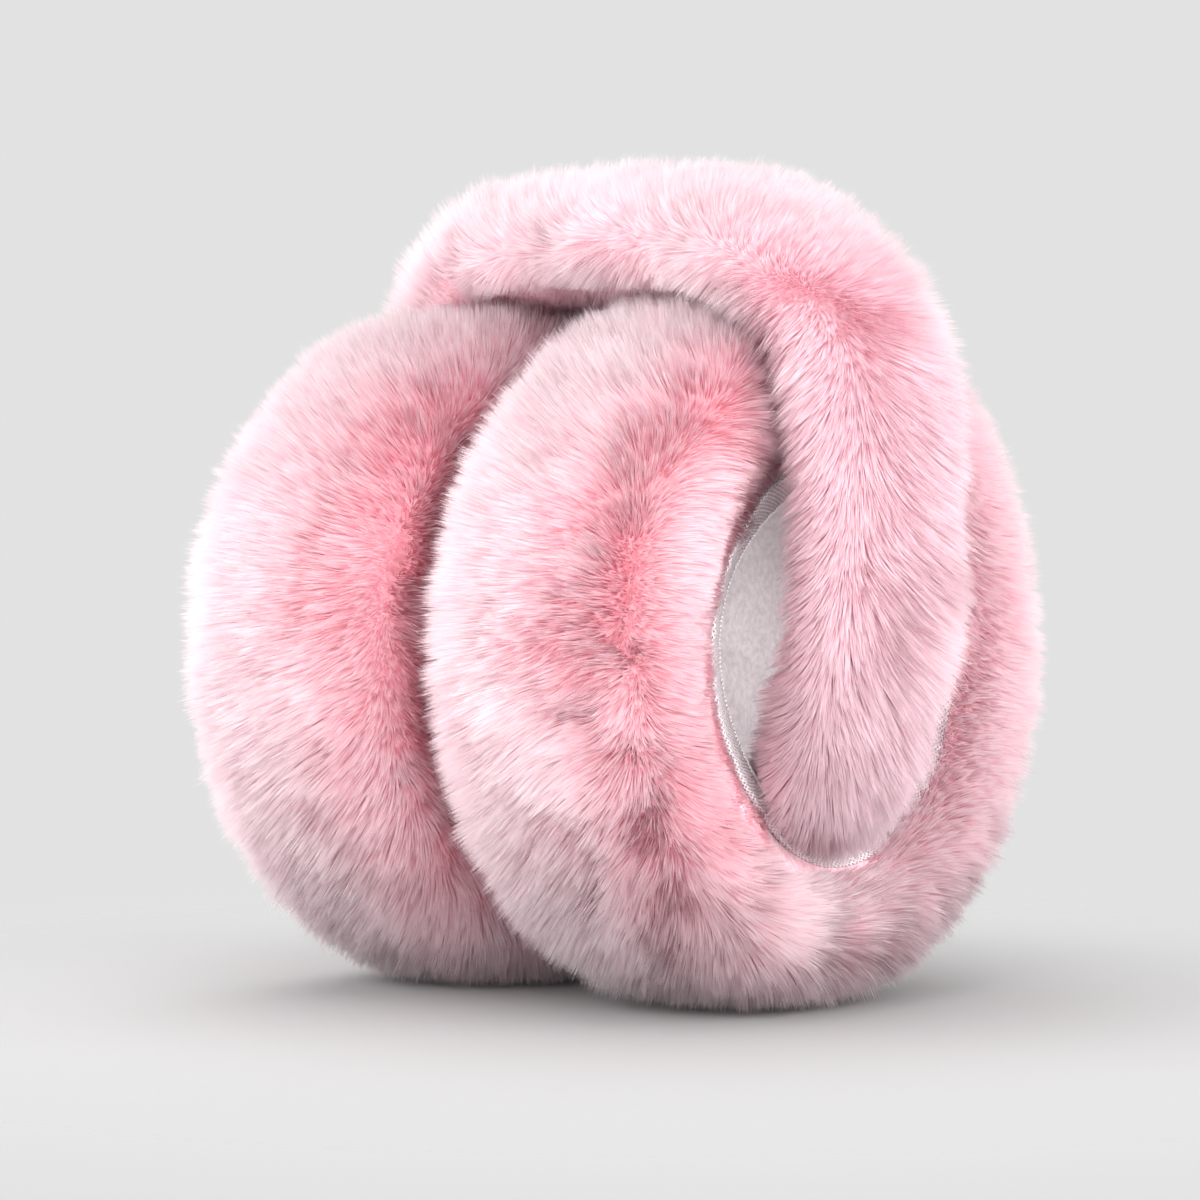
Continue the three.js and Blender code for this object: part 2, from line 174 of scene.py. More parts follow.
class EarmuffCloths(bpy.types.PropertyGroup):
    """Colours of the lining, the tape and the stage."""

    fleece: tint("Fleece", "Off-white brushed lining", "#E4DDDF")
    fleece_shade: tint("Fleece Shade", "Between the fleece's nubs", "#D0C7CA")
    tape_thread: tint("Tape Thread", "Knitted thread of the tape", "#EAE3E6")
    # Painted shade: the small holes of the tape are filled with this darker colour.
    tape_hole_shade: tint("Tape Hole", "Inside the tape's small holes", "#9D8C92")
    edge_thread: tint("Edge Thread", "Thread of the stitched edge", "#FBF8F9")
    backdrop: tint("Backdrop", "Pale surroundings", "#E2E2E2")
    floor: tint("Floor", "Pale floor", "#A8A8A8")


def unit(vectors):
    """Vectors scaled to length one."""
    sizes = np.linalg.norm(vectors, axis=-1, keepdims=True)
    return vectors / np.maximum(sizes, 1e-12)


def fade(values, start, end):
    """Zero before start, one past end and a smooth rise between them."""
    part = np.clip((values - start) / (end - start), 0.0, 1.0)
    return part * part * (3 - 2 * part)


def across(vectors, outs):
    """The part of the vectors that lies along the surface with those outward ways."""
    return vectors - outs * np.sum(vectors * outs, axis=-1, keepdims=True)


def drift(points, pitch, seed):
    """Smooth noise vectors between -1 and 1: random ones on a cubic lattice, blended between."""
    size = 24
    table = np.random.default_rng(seed).random((size, size, size, 3)) * 2 - 1
    place = points / pitch
    low = np.floor(place).astype(int)
    part = place - low
    part = part * part * (3 - 2 * part)
    total = np.zeros_like(points)
    for corner in np.ndindex(2, 2, 2):
        weight = np.prod(np.where(corner, part, 1 - part), axis=-1)
        cell = (low + corner) % size
        total += weight[..., None] * table[cell[..., 0], cell[..., 1], cell[..., 2]]
    return total


def tufts(points, pitch, seed):
    """The way from each point to the nearest of a jittered lattice of centres, and a random
    number that all points of one centre share."""
    size = 32
    table = np.random.default_rng(seed).random((size, size, size, 4))
    low = np.floor(points / pitch).astype(int)
    nearest = np.full(len(points), np.inf)
    ways = np.zeros_like(points)
    marks = np.zeros(len(points))
    for step in np.ndindex(3, 3, 3):
        cell = low + step - 1
        entry = table[cell[:, 0] % size, cell[:, 1] % size, cell[:, 2] % size]
        way = (cell + entry[:, :3]) * pitch - points
        distance = np.sum(way * way, axis=1)
        closer = distance < nearest
        nearest[closer] = distance[closer]
        ways[closer] = way[closer]
        marks[closer] = entry[closer, 3]
    return ways, marks


def bezier(controls, count):
    """Points of a Bezier curve by repeated blending of its control points, one curve for each
    column."""
    share = np.linspace(0.0, 1.0, count)[:, None, None]
    level = [control[None] for control in controls]
    while len(level) > 1:
        level = [a * (1 - share) + b * share for a, b in zip(level, level[1:])]
    return level[0]


def arc(centre, radii, start, end, count):
    """Points of an ellipse's arc between two angles, one arc for each column."""
    angle = np.linspace(start, end, count)[:, None]
    along = centre[:, 0] + radii[:, 0] * np.cos(angle)
    out = centre[:, 1] + radii[:, 1] * np.sin(angle)
    return np.stack([along, out], axis=-1)


def resample(line, shares):
    """Points at shares of each column's own length."""
    steps = np.linalg.norm(np.diff(line, axis=0), axis=2)
    lengths = np.concatenate([np.zeros((1, line.shape[1])), np.cumsum(steps, axis=0)])
    columns = [
        [np.interp(shares * reach[-1], reach, line[:, j, k]) for k in range(2)]
        for j, reach in enumerate(lengths.T)
    ]
    return np.array(columns).transpose(2, 0, 1)


def facing(line):
    """The way out of the solid along half sections that run rightwards over the top."""
    way = unit(np.gradient(line, axis=0))
    return np.stack([-way[..., 1], way[..., 0]], axis=-1)


def opening_reach(turns):
    """The ear opening's reach at any turn: a smooth closed curve through the eight values."""
    place = turns / FULL_TURN * len(OPENING_REACH)
    low = np.floor(place).astype(int)
    part = place - low
    a, b, c, d = (OPENING_REACH[(low + k) % len(OPENING_REACH)] for k in (-1, 0, 1, 2))
    bend = (2 * a - 5 * b + 4 * c - d) * part + (3 * b - a - 3 * c + d) * part * part
    return b + 0.5 * part * (c - a + bend)


class Cup:
    """Half sections of one cup about its axis: x along it, radius out from it."""

    def __init__(self, side, sizes):
        low, high = CUPS[side]
        self.side = side
        self.sizes = sizes
        self.middle = np.array([(low.x + high.x) / 2, 0.0, sizes.cup_radius - FLOOR_PRESS])
        self.half = sizes.cup_thickness / 2 - sizes.cup_fur
        self.radius = sizes.cup_radius - sizes.cup_fur
        self.rim_middle = sizes.cup_radius - sizes.rim_width / 2
        self.edge_x = sizes.cup_thickness / 2 - sizes.edge_setback
        self.back_x = sizes.back_wall - self.half

    def opening(self, turns):
        """Radius of the ear opening at the tape's fold."""
        return self.sizes.opening_radius * opening_reach(turns)

    def edge(self, turns):
        """Radius of the backing's edge, just behind the tape's fold."""
        return self.opening(turns) + self.sizes.tape_overhang

    def pair(self, turns, along, out):
        """The same place in every column."""
        return np.stack([along + 0 * turns, out + 0 * turns], axis=-1)

    def fur_line(self, turns):
        """The backing's fur side: a shallow dome, two full curves over the rim and a quarter
        ellipse down to the opening's edge."""
        half, middle, radius = self.half, self.rim_middle, self.radius
        crown = -half - CROWN_HEIGHT
        full_out = middle + RIM_FULLNESS * (radius - middle)
        full_along = RIM_FULLNESS * half
        at = lambda along, out: self.pair(turns, along, out)
        lip = at(half - self.edge_x, middle - self.edge(turns))
        return np.concatenate([
            bezier([at(crown, 0.0), at(crown, middle / 2), at(-half, middle)], 24),
            bezier([at(-half, middle), at(-half, full_out), at(-full_along, radius), at(0, radius)], 24),
            bezier([at(0, radius), at(full_along, radius), at(half, full_out), at(half, middle)], 24),
            arc(at(self.edge_x, middle), lip, 0.0, -math.pi / 2, 20),
        ])

    def pocket_line(self, turns):
        """The pocket: its wall widens below the edge, turns a round corner and ends flat."""
        sizes = self.sizes
        edge = self.edge(turns)
        wall = edge + sizes.undercut
        corner_x = self.back_x + sizes.corner
        at = lambda along, out: self.pair(turns, along, out)
        handles = [
            at(self.edge_x, edge), at(self.edge_x - sizes.undercut, edge),
            at(corner_x + sizes.undercut, wall), at(corner_x, wall),
        ]
        bend = at(corner_x, wall - sizes.corner)
        return np.concatenate([
            bezier(handles, 16),
            arc(bend, at(sizes.corner, sizes.corner), math.pi / 2, math.pi, 14),
            bezier([at(self.back_x, wall - sizes.corner), at(self.back_x, 0.0)], 12),
        ])

    def turned(self, line, turns):
        """Half sections turned to their places round the cup's axis."""
        along, out = line[..., 0], line[..., 1]
        points = np.stack([along, out * np.sin(turns), out * np.cos(turns)], axis=-1)
        return points + self.middle


def even_turns(count):
    """Turns of evenly spaced columns."""
    return np.arange(count) / count * FULL_TURN


class Band:
    """The band's middle line with its frames: forward, outward to its fur side, and aside."""

    def __init__(self, sizes, count):
        right = Cup("right", sizes)
        left = Cup("left", sizes)
        self.sizes = sizes
        self.right = right
        spacing = right.middle[0] - left.middle[0]
        scale = np.array([spacing, sizes.band_width, sizes.cup_radius])
        knots = BAND_ROUTE[:, :3] * scale
        ends = [2 * knots[0] - knots[1], 2 * knots[-1] - knots[-2]]
        padded = np.concatenate([ends[:1], knots, ends[1:]])
        a, b, c, d = (padded[k:len(padded) - 3 + k] for k in range(4))
        near, mid, far = (np.linalg.norm(q - p, axis=1) ** 0.5 for p, q in ((a, b), (b, c), (c, d)))
        near, mid, far = near[:, None], mid[:, None], far[:, None]
        leave = (b - a) / near - (c - a) / (near + mid) + (c - b) / mid
        arrive = (c - b) / mid - (d - b) / (mid + far) + (d - c) / far
        leave, arrive = leave * mid, arrive * mid
        part = np.linspace(0.0, 1.0, 60, endpoint=False)[:, None, None]
        square = part * part
        cube = square * part
        body = b + leave * part + (3 * (c - b) - 2 * leave - arrive) * square
        body = body + (2 * (b - c) + leave + arrive) * cube
        line = np.concatenate([body.transpose(1, 0, 2).reshape(-1, 3), knots[-1:]])
        places = np.append(np.arange(len(line) - 1) / 60, len(knots) - 1)
        reach = np.append(0.0, np.cumsum(np.linalg.norm(np.diff(line, axis=0), axis=1)))
        self.length = reach[-1]
        self.share = np.linspace(0.0, 1.0, count)
        at = self.share * reach[-1]
        under = np.stack([np.interp(at, reach, line[:, k]) for k in range(3)], axis=1)
        place = np.interp(at, reach, places)
        rows = np.arange(len(BAND_ROUTE))
        backing_half = sizes.band_width / 2 - sizes.band_fur
        padding_half = (sizes.band_thickness - sizes.band_fur) / 2
        self.half_width = backing_half * np.interp(place, rows, BAND_ROUTE[:, 3])
        self.half_thickness = padding_half * np.interp(place, rows, BAND_ROUTE[:, 4])
        self.forward = unit(np.gradient(under, axis=0))
        self.outward = unit(np.cross(self.forward, (0.0, 1.0, 0.0)))
        self.aside = np.cross(self.outward, self.forward)
        self.origin = under + self.outward * self.half_thickness[:, None] + right.middle

    def grid(self, first, last, angles):
        """Points round the backing between two rows of frames."""
        rows = slice(first, last)
        sides = self.half_width[rows, None, None] * np.sin(angles)[None, :, None]
        tops = self.half_thickness[rows, None, None] * np.cos(angles)[None, :, None]
        return (
            self.origin[rows, None]
            + self.aside[rows, None] * sides
            + self.outward[rows, None] * tops
        )

    def covers(self, points, clearance):
        """Whether each point lies in the room that the band and its fur take."""
        frames = slice(None, None, 6)
        origin = self.origin[frames]
        flat = np.sum(origin * origin, axis=1) - 2 * points @ origin.T
        near = np.argmin(flat, axis=1)
        pick = np.arange(len(self.share))[frames][near]
        way = points - self.origin[pick]
        up = np.sum(way * self.outward[pick], axis=1)
        sideways = np.abs(np.sum(way * self.aside[pick], axis=1))
        ahead = np.abs(np.sum(way * self.forward[pick], axis=1))
        fur = self.sizes.band_fur * (up > 0)
        within = sideways < self.half_width[pick] + self.sizes.band_fur * 0.6 + clearance
        within &= np.abs(up) < self.half_thickness[pick] + fur + clearance
        return within & (ahead < 0.008)


def held_in_opening(points, cup):
    """Points of the band's lower end pressed in from the tape and the lining: inside the cup's
    ear side, a point's distance from the axis stays under the opening's radius, and deeper in
    under the lining's."""
    sizes = cup.sizes
    local = points - cup.middle
    out = np.hypot(local[..., 1], local[..., 2])
    turns = np.arctan2(local[..., 1], local[..., 2]) % FULL_TURN
    tape_end = cup.edge_x - sizes.tape_leaf
    room_tape = cup.opening(turns) - sizes.tape * 0.9
    room_wall = cup.edge(turns) + sizes.undercut - sizes.lining - 0.001
    deep = fade(-local[..., 0], -tape_end, -tape_end + 0.004)
    room = room_tape * (1 - deep) + room_wall * deep
    mouth = fade(-local[..., 0], -(cup.edge_x + 0.009), -(cup.edge_x + 0.003))
    mouth = mouth * fade(-local[..., 2], -0.004, 0.006)
    kept = np.minimum(out, room)
    share = (out + (kept - out) * mouth) / np.maximum(out, 1e-9)
    held = np.stack([local[..., 0], local[..., 1] * share, local[..., 2] * share], axis=-1)
    return held + cup.middle


def closed_quads(index):
    """Quads between the rows of a grid of point numbers that closes round its columns."""
    right = np.roll(index, -1, axis=1)
    return np.stack([index[:-1], index[1:], right[1:], right[:-1]], axis=-1).reshape(-1, 4)


def ring_skin(rings, start, end):
    """Points and faces of a closed skin: rings of points joined by quads, with a fan of
    triangles to a point at each end."""
    rows, columns = rings.shape[:2]
    index = np.arange(rows * columns).reshape(rows, columns)
    right = np.roll(index, -1, axis=1)
    quads = closed_quads(index)
    poles = np.full((2, columns), [[rows * columns], [rows * columns + 1]])
    first = np.stack([poles[0], index[0], right[0]], axis=-1)
    last = np.stack([index[-1], poles[1], right[-1]], axis=-1)
    points = np.concatenate([rings.reshape(-1, 3), [start], [end]])
    return points, [quads, np.concatenate([first, last])]


def mesh_piece(name, points, faces, material):
    """A smooth mesh object of these points and faces, riding on the whole part."""
    mesh = bpy.data.meshes.new(name)
    corners = np.concatenate([part.ravel() for part in faces]).astype(np.int32)
    sides = np.concatenate([np.full(len(part), part.shape[1]) for part in faces])
    starts = np.append(0, np.cumsum(sides)[:-1]).astype(np.int32)
    mesh.vertices.add(len(points))
    mesh.vertices.foreach_set("co", np.ravel(points).astype(np.float32))
    mesh.loops.add(len(corners))
    mesh.loops.foreach_set("vertex_index", corners)
    mesh.polygons.add(len(sides))
    mesh.polygons.foreach_set("loop_start", starts)
    mesh.polygons.foreach_set("use_smooth", np.ones(len(sides), dtype=bool))
    mesh.update(calc_edges=True)
    mesh.validate()
    mesh.materials.append(material)
    made = bpy.data.objects.new(name, mesh)
    bpy.context.scene.collection.objects.link(made)
    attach(made, "root")
    return made


def corner_map(mesh, name, coordinates):
    """A UV map of coordinates given for each corner of the faces."""
    mesh.uv_layers.new(name=name).uv.foreach_set("vector", np.ravel(coordinates).astype(np.float32))


def point_values(mesh, name, values):
    """A number for each point, that a material can read."""
    mesh.attributes.new(name, "FLOAT", "POINT").data.foreach_set("value", values.astype(np.float32))


class Surface:
    """A grid of surface points, closed round its columns, from which fur grows."""

    def __init__(self, grid):
        self.grid = grid
        along = np.gradient(grid, axis=0)
        around = np.roll(grid, -1, axis=1) - np.roll(grid, 1, axis=1)
        self.outs = unit(np.cross(along, around))
        self.forward = unit(along)
        self.rows, self.columns = grid.shape[:2]
        low = grid[:-1]
        high = grid[1:]
        first = np.cross(high - low, np.roll(high, -1, axis=1) - low)
        second = np.cross(np.roll(high, -1, axis=1) - low, np.roll(low, -1, axis=1) - low)
        self.areas = (np.linalg.norm(first, axis=-1) + np.linalg.norm(second, axis=-1)) / 2

    def scatter(self, count, density, rng):
        """Row and column places of evenly spread roots, as dense as the cells say."""
        total = np.cumsum((self.areas * density).ravel())
        picks = (np.arange(count) + rng.random(count)) / count * total[-1]
        cells = np.minimum(np.searchsorted(total, picks), len(total) - 1)
        row, column = np.divmod(cells, self.columns)
        return row + rng.random(count), column + rng.random(count)

    def at(self, field, row, column):
        """A field's values between its rows and columns."""
        low = np.minimum(row.astype(int), self.rows - 2)
        left = column.astype(int) % self.columns
        right = (left + 1) % self.columns
        up = (row - low)[:, None]
        aside = (column - np.floor(column))[:, None]
        near = field[low, left] * (1 - aside) + field[low, right] * aside
        far = field[low + 1, left] * (1 - aside) + field[low + 1, right] * aside
        return near * (1 - up) + far * up


def add_strands(name, outs, roots, tips, width, base, shades, cool, material, rng):
    """A mesh of fur strands, each one narrow triangle from its root to its tip. A strand lies
    with its flat side to the light, and its shading normals stay near the backing's, a little
    lifted, which keeps the pile soft. Base is the height, from 0 to 1, at which its colours
    start, and a negative one keeps the whole strand deeper in colour."""
    count = len(outs)
    way = unit(tips - roots)
    turned = unit(outs + 0.35 * (rng.random((count, 3)) - 0.5))
    sideways = unit(np.cross(way, turned)) * (width / 2 * (0.7 + 0.6 * rng.random((count, 1))))
    heights = np.stack([base, base, np.minimum(1 + base, 1.0)], axis=1)
    points = np.stack([roots - sideways, roots + sideways, tips], axis=1)
    points[..., 2] = np.maximum(points[..., 2], 0.0002 + 0.0004 * rng.random((count, 1)))
    faces = np.arange(count * 3).reshape(count, 3)
    made = mesh_piece(name, points.reshape(-1, 3), [faces], material)
    mesh = made.data
    point_values(mesh, "height", heights.ravel())
    point_values(mesh, "shade", np.repeat(shades, 3))
    point_values(mesh, "cool", np.repeat(cool, 3))
    grid = math.ceil(math.sqrt(count))
    cell = np.stack([np.arange(count) % grid, np.arange(count) // grid], axis=1)[:, None]
    corner_map(mesh, "OFBake", (cell + STRAND_CELL) / grid)
    normals = unit(outs + way * 0.2 + (0.0, 0.0, 0.22) + 0.1 * (rng.random((count, 3)) - 0.5))
    mesh.normals_split_custom_set_from_vertices(np.repeat(normals, 3, axis=0))
    return made


def lean_strands(roots, outs, comb, lengths, pulls, bow, seed):
    """Tips and shades of strands that stand out from the backing, bend with the comb and close
    up into small wisps and larger tufts towards their tips. Bow is how strongly the comb bends
    them."""
    pile = bpy.context.scene.earmuff_pile
    small, mark = tufts(roots, pile.wisp_pitch, seed)
    large, tuft_mark = tufts(roots, pile.tuft_pitch, seed + 1)
    small = across(small, outs)
    large = across(large, outs)
    sway = drift(roots, 0.0045, seed + 2) * 0.12 + drift(roots, 0.0012, seed + 3) * 0.18
    comb = across(comb + sway, outs)
    lengths = (lengths * (0.9 + 0.2 * mark) * (0.92 + 0.16 * tuft_mark))[:, None]
    rise = unit(outs + 0.4 * bow * comb)
    bend = unit(outs + 1.2 * bow * comb)
    pull = pulls[:, None]
    middles = roots + rise * lengths * 0.5 + pull * (0.12 * small + 0.06 * large)
    tips = middles + bend * lengths * 0.5 + pull * (0.28 * small + 0.22 * large)
    shades = 0.45 * mark + 0.3 * tuft_mark
    return tips, shades


def clear_of_band(band, roots, tips, clearance):
    """Strands whose roots lie under the band are left out, and those that would run into it
    are cut shorter until they stay clear."""
    open_air = ~band.covers(roots, clearance)
    scale = np.ones(len(roots))
    for shorter in (0.75, 0.5, 0.3, 0.15):
        ends = roots + (tips - roots) * scale[:, None]
        scale = np.where(band.covers(ends, clearance), shorter, scale)
    return open_air, roots + (tips - roots) * scale[:, None]


def add_node(tree, kind, settings=(), inputs=(), **values):
    """A node of a material, with its settings, its values and its links."""
    node = tree.nodes.new(kind)
    for name, value in dict(settings).items():
        setattr(node, name, value)
    for name, value in {**dict(inputs), **values}.items():
        socket = node.inputs[name]
        if isinstance(value, bpy.types.NodeSocket):
            tree.links.new(value, socket)
        else:
            socket.default_value = value
    return node


def new_material(name):
    """An empty material and its node tree with an output."""
    made = bpy.data.materials.new(name)
    made.use_nodes = True
    made.node_tree.nodes.clear()
    output = made.node_tree.nodes.new("ShaderNodeOutputMaterial")
    return made, made.node_tree, output


def ramp(tree, factor, stops):
    """A colour ramp through these places and colours."""
    node = add_node(tree, "ShaderNodeValToRGB", Fac=factor)
    elements = node.color_ramp.elements
    while len(elements) < len(stops):
        elements.new(1.0)
    for element, (place, tone) in zip(elements, stops):
        element.position = place
        element.color = tone
    return node.outputs["Color"]


def blend_colours(tree, factor, first, second, kind="MIX"):
    """Two colours mixed by a factor."""
    settings = {"data_type": "RGBA", "blend_type": kind}
    node = add_node(tree, "ShaderNodeMix", settings, {0: factor, 6: first, 7: second})
    return node.outputs[2]


def fur_material(pile):
    """Soft faux fur: saturated at the roots, pale at the tips, with some light passing through."""
    made, tree, output = new_material("soft_pink_faux_fur")
    height = add_node(tree, "ShaderNodeAttribute", {"attribute_name": "height"}).outputs["Fac"]
    shade = add_node(tree, "ShaderNodeAttribute", {"attribute_name": "shade"}).outputs["Fac"]
    cool = add_node(tree, "ShaderNodeAttribute", {"attribute_name": "cool"}).outputs["Fac"]
    warm_stops = [(0.0, pile.root), (0.5, pile.middle), (0.95, pile.tip)]
    cool_stops = [(0.0, pile.cool_root), (0.5, pile.cool_middle), (0.95, pile.cool_tip)]
    body = blend_colours(tree, cool, ramp(tree, height, warm_stops), ramp(tree, height, cool_stops))
    greys = [(0.0, (0.96, 0.93, 0.94, 1.0)), (1.0, (1.0, 1.0, 1.0, 1.0))]
    body = blend_colours(tree, 1.0, body, ramp(tree, shade, greys), "MULTIPLY")
    cloud = add_node(
        tree, "ShaderNodeTexNoise", {"noise_dimensions": "3D"},
        Vector=add_node(tree, "ShaderNodeTexCoord").outputs["Object"], Scale=45.0, Detail=2.0,
    )
    clouds = [(0.35, (0.95, 0.92, 0.93, 1.0)), (0.65, (1.0, 1.0, 1.0, 1.0))]
    body = blend_colours(tree, 1.0, body, ramp(tree, cloud.outputs["Fac"], clouds), "MULTIPLY")
    strand = add_node(
        tree, "ShaderNodeBsdfPrincipled",
        inputs={"Base Color": body, "Roughness": 0.62, "Specular IOR Level": 0.35, "Sheen Weight": 0.25,
                "Sheen Roughness": 0.4},
    )
    through = add_node(tree, "ShaderNodeBsdfTranslucent", Color=body)
    mixed = add_node(
        tree, "ShaderNodeMixShader",
        inputs={0: 0.5, 1: strand.outputs["BSDF"], 2: through.outputs["BSDF"]},
    )
    tree.links.new(mixed.outputs[0], output.inputs["Surface"])
    return made


def backing_material(pile):
    """Knitted backing with short under-fur, deep pink, seen only between the strands."""
    made, tree, output = new_material("deep_pink_pile_backing")
    place = add_node(tree, "ShaderNodeTexCoord").outputs["Object"]
    grain = add_node(tree, "ShaderNodeTexNoise", Vector=place, Scale=900.0, Detail=3.0)
    tone = ramp(tree, grain.outputs["Fac"], [(0.3, pile.root), (0.7, pile.middle)])
    bump = add_node(tree, "ShaderNodeBump", Strength=0.6, Distance=0.0006, Height=grain.outputs["Fac"])
    cloth = add_node(
        tree, "ShaderNodeBsdfPrincipled",
        inputs={"Base Color": tone, "Roughness": 0.9, "Sheen Weight": 0.4,
                "Normal": bump.outputs["Normal"]},
    )
    tree.links.new(cloth.outputs["BSDF"], output.inputs["Surface"])
    return made


def fleece_material(cloths):
    """Brushed off-white fleece with small soft nubs."""
    made, tree, output = new_material("off_white_brushed_fleece")
    place = add_node(tree, "ShaderNodeTexCoord").outputs["Object"]
    nubs = add_node(tree, "ShaderNodeTexNoise", Vector=place, Scale=850.0, Detail=4.0, Roughness=0.6)
    folds = add_node(tree, "ShaderNodeTexNoise", Vector=place, Scale=120.0, Detail=2.0)
    tone = ramp(tree, nubs.outputs["Fac"], [(0.36, cloths.fleece_shade), (0.62, cloths.fleece)])
    # Painted shade: the fleece is a little darker in the hollows of its folds.
    soft = [(0.3, (0.93, 0.91, 0.92, 1.0)), (0.7, (1.0, 1.0, 1.0, 1.0))]
    tone = blend_colours(tree, 1.0, tone, ramp(tree, folds.outputs["Fac"], soft), "MULTIPLY")
    low = add_node(tree, "ShaderNodeBump", Strength=0.5, Distance=0.0012, Height=folds.outputs["Fac"])
    bump = add_node(
        tree, "ShaderNodeBump",
        inputs={"Strength": 0.7, "Distance": 0.0005, "Height": nubs.outputs["Fac"],
                "Normal": low.outputs["Normal"]},
    )
    cloth = add_node(
        tree, "ShaderNodeBsdfPrincipled",
        inputs={"Base Color": tone, "Roughness": 0.95, "Sheen Weight": 0.5, "Sheen Roughness": 0.6,
                "Specular IOR Level": 0.2, "Normal": bump.outputs["Normal"]},
    )
    tree.links.new(cloth.outputs["BSDF"], output.inputs["Surface"])
    return made


def tape_material(cloths):
    """Knitted elastic tape: fine white threads round rows of small holes."""
    made, tree, output = new_material("white_knitted_elastic_tape")
    weave = add_node(tree, "ShaderNodeUVMap", {"uv_map": "weave"}).outputs["UV"]
    skew = add_node(tree, "ShaderNodeMapping", Vector=weave, Rotation=(0.0, 0.0, math.pi / 4))
    holes = add_node(
        tree, "ShaderNodeTexVoronoi", {"voronoi_dimensions": "2D", "feature": "F1"},
        Vector=skew.outputs["Vector"], Scale=1.0, Randomness=0.2,
    )
    # Painted shade: the tape's holes get the darker hole colour.
    thread = ramp(tree, holes.outputs["Distance"], [(0.16, cloths.tape_hole_shade), (0.36, cloths.tape_thread)])
    ribs = add_node(
        tree, "ShaderNodeTexNoise", {"noise_dimensions": "2D"}, Vector=weave, Scale=3.5, Detail=2.0,
    )
    shades = [(0.3, (0.9, 0.88, 0.89, 1.0)), (0.6, (1.0, 1.0, 1.0, 1.0))]
    tone = blend_colours(tree, 1.0, thread, ramp(tree, ribs.outputs["Fac"], shades), "MULTIPLY")
    rise = ramp(tree, holes.outputs["Distance"], [(0.12, (0, 0, 0, 1)), (0.42, (1, 1, 1, 1))])
    bump = add_node(tree, "ShaderNodeBump", Strength=0.9, Distance=0.0004, Height=rise)
    cloth = add_node(
        tree, "ShaderNodeBsdfPrincipled",
        inputs={"Base Color": tone, "Roughness": 0.75, "Sheen Weight": 0.2,
                "Normal": bump.outputs["Normal"]},
    )
    tree.links.new(cloth.outputs["BSDF"], output.inputs["Surface"])
    return made


def thread_material(cloths):
    """White polyester thread of the stitched edge, slightly twisted."""
    made, tree, output = new_material("white_edge_thread")
    place = add_node(tree, "ShaderNodeTexCoord").outputs["Object"]
    twist = add_node(tree, "ShaderNodeTexNoise", Vector=place, Scale=2600.0, Detail=2.0)
    tone = ramp(tree, twist.outputs["Fac"], [(0.3, cloths.tape_thread), (0.6, cloths.edge_thread)])
    bump = add_node(tree, "ShaderNodeBump", Strength=0.5, Distance=0.0001, Height=twist.outputs["Fac"])
    cloth = add_node(
        tree, "ShaderNodeBsdfPrincipled",
        inputs={"Base Color": tone, "Roughness": 0.55, "Normal": bump.outputs["Normal"]},
    )
    tree.links.new(cloth.outputs["BSDF"], output.inputs["Surface"])
    return made


def floor_material(cloths):
    """Matt pale floor that fades out far from the object."""
    made, tree, output = new_material("pale_matt_floor")
    place = add_node(tree, "ShaderNodeTexCoord").outputs["Object"]
    reach = add_node(tree, "ShaderNodeVectorMath", {"operation": "LENGTH"}, inputs={0: place})
    away = add_node(
        tree, "ShaderNodeMapRange", {"interpolation_type": "SMOOTHSTEP"},
        inputs={"Value": reach.outputs["Value"], "From Min": 0.08, "From Max": 0.25,
                "To Min": 1.0, "To Max": 0.0},
    )
    grain = add_node(tree, "ShaderNodeTexNoise", Vector=place, Scale=700.0, Detail=2.0)
    bump = add_node(tree, "ShaderNodeBump", Strength=0.05, Distance=0.0005, Height=grain.outputs["Fac"])
    matt = add_node(
        tree, "ShaderNodeBsdfPrincipled",
        inputs={"Base Color": cloths.floor, "Roughness": 0.9, "Specular IOR Level": 0.0,
                "Alpha": away.outputs["Result"], "Normal": bump.outputs["Normal"]},
    )
    tree.links.new(matt.outputs["BSDF"], output.inputs["Surface"])
    return made


class EARMUFFS_OT_padding(bpy.types.Operator):
    """Make the padded cups, under their fur."""

    bl_idname = "earmuffs.padding"
    bl_label = "Padded Cups"

    def execute(self, context):
        scene = context.scene
        material = backing_material(scene.earmuff_pile)
        turns = even_turns(88)
        for side in CUPS:
            cup = Cup(side, scene.earmuff_sizes)
            fur = resample(cup.fur_line(turns), np.linspace(0.02, 1.0, 52))
            pocket = resample(cup.pocket_line(turns), np.linspace(0.03, 0.98, 26))
            line = np.concatenate([fur, pocket])
            rings = cup.turned(line, turns)
            rings[:52] += 0.0005 * drift(rings[:52], 0.012, 11)
            crown = cup.middle + (-cup.half - CROWN_HEIGHT, 0.0, 0.0)
            back = cup.middle + (cup.back_x, 0.0, 0.0)
            points, faces = ring_skin(rings, crown, back)
            skin = mesh_piece(f"{side}_cup_padding", points, faces, material)
            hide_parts(f"{side}_cup_fur")
        return {"FINISHED"}


